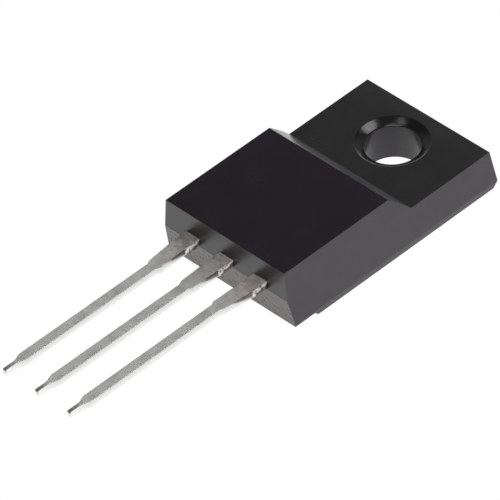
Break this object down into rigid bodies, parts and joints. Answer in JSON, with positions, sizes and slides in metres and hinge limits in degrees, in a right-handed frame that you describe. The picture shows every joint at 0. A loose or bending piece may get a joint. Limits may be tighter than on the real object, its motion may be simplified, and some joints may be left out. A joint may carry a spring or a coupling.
{
  "type": "power transistor",
  "caption": "Power transistor in a fully moulded black package, with a screw hole through its tab and a row of leads.",
  "frame": {"origin": "centre of the mounting hole, on the back face that lies on a heatsink", "axes": "+X across the body, from the first lead to the last seen from the front with the leads down; +Y from the leads towards the hole; +Z out of the front face"},
  "size_m": [0.01, 0.0313, 0.0043],
  "materials": {
    "moulding_compound": "black epoxy moulding compound, fine satin to gloss",
    "tinned_copper": "copper stamping with dull tin plating on the leads",
    "solder": "dull soft solder",
    "silicon": "polished silicon with aluminium pads",
    "aluminium_wire": "drawn aluminium wire"
  },
  "bodies": {
    "root": {"mould_body": "moulding_compound", "collector_lead": "tinned_copper", "base_lead": "tinned_copper", "emitter_lead": "tinned_copper", "chip_solder": "solder", "silicon_chip": "silicon", "base_wire": "aluminium_wire", "emitter_wire_1": "aluminium_wire", "emitter_wire_2": "aluminium_wire"}
  },
  "joints": []
}
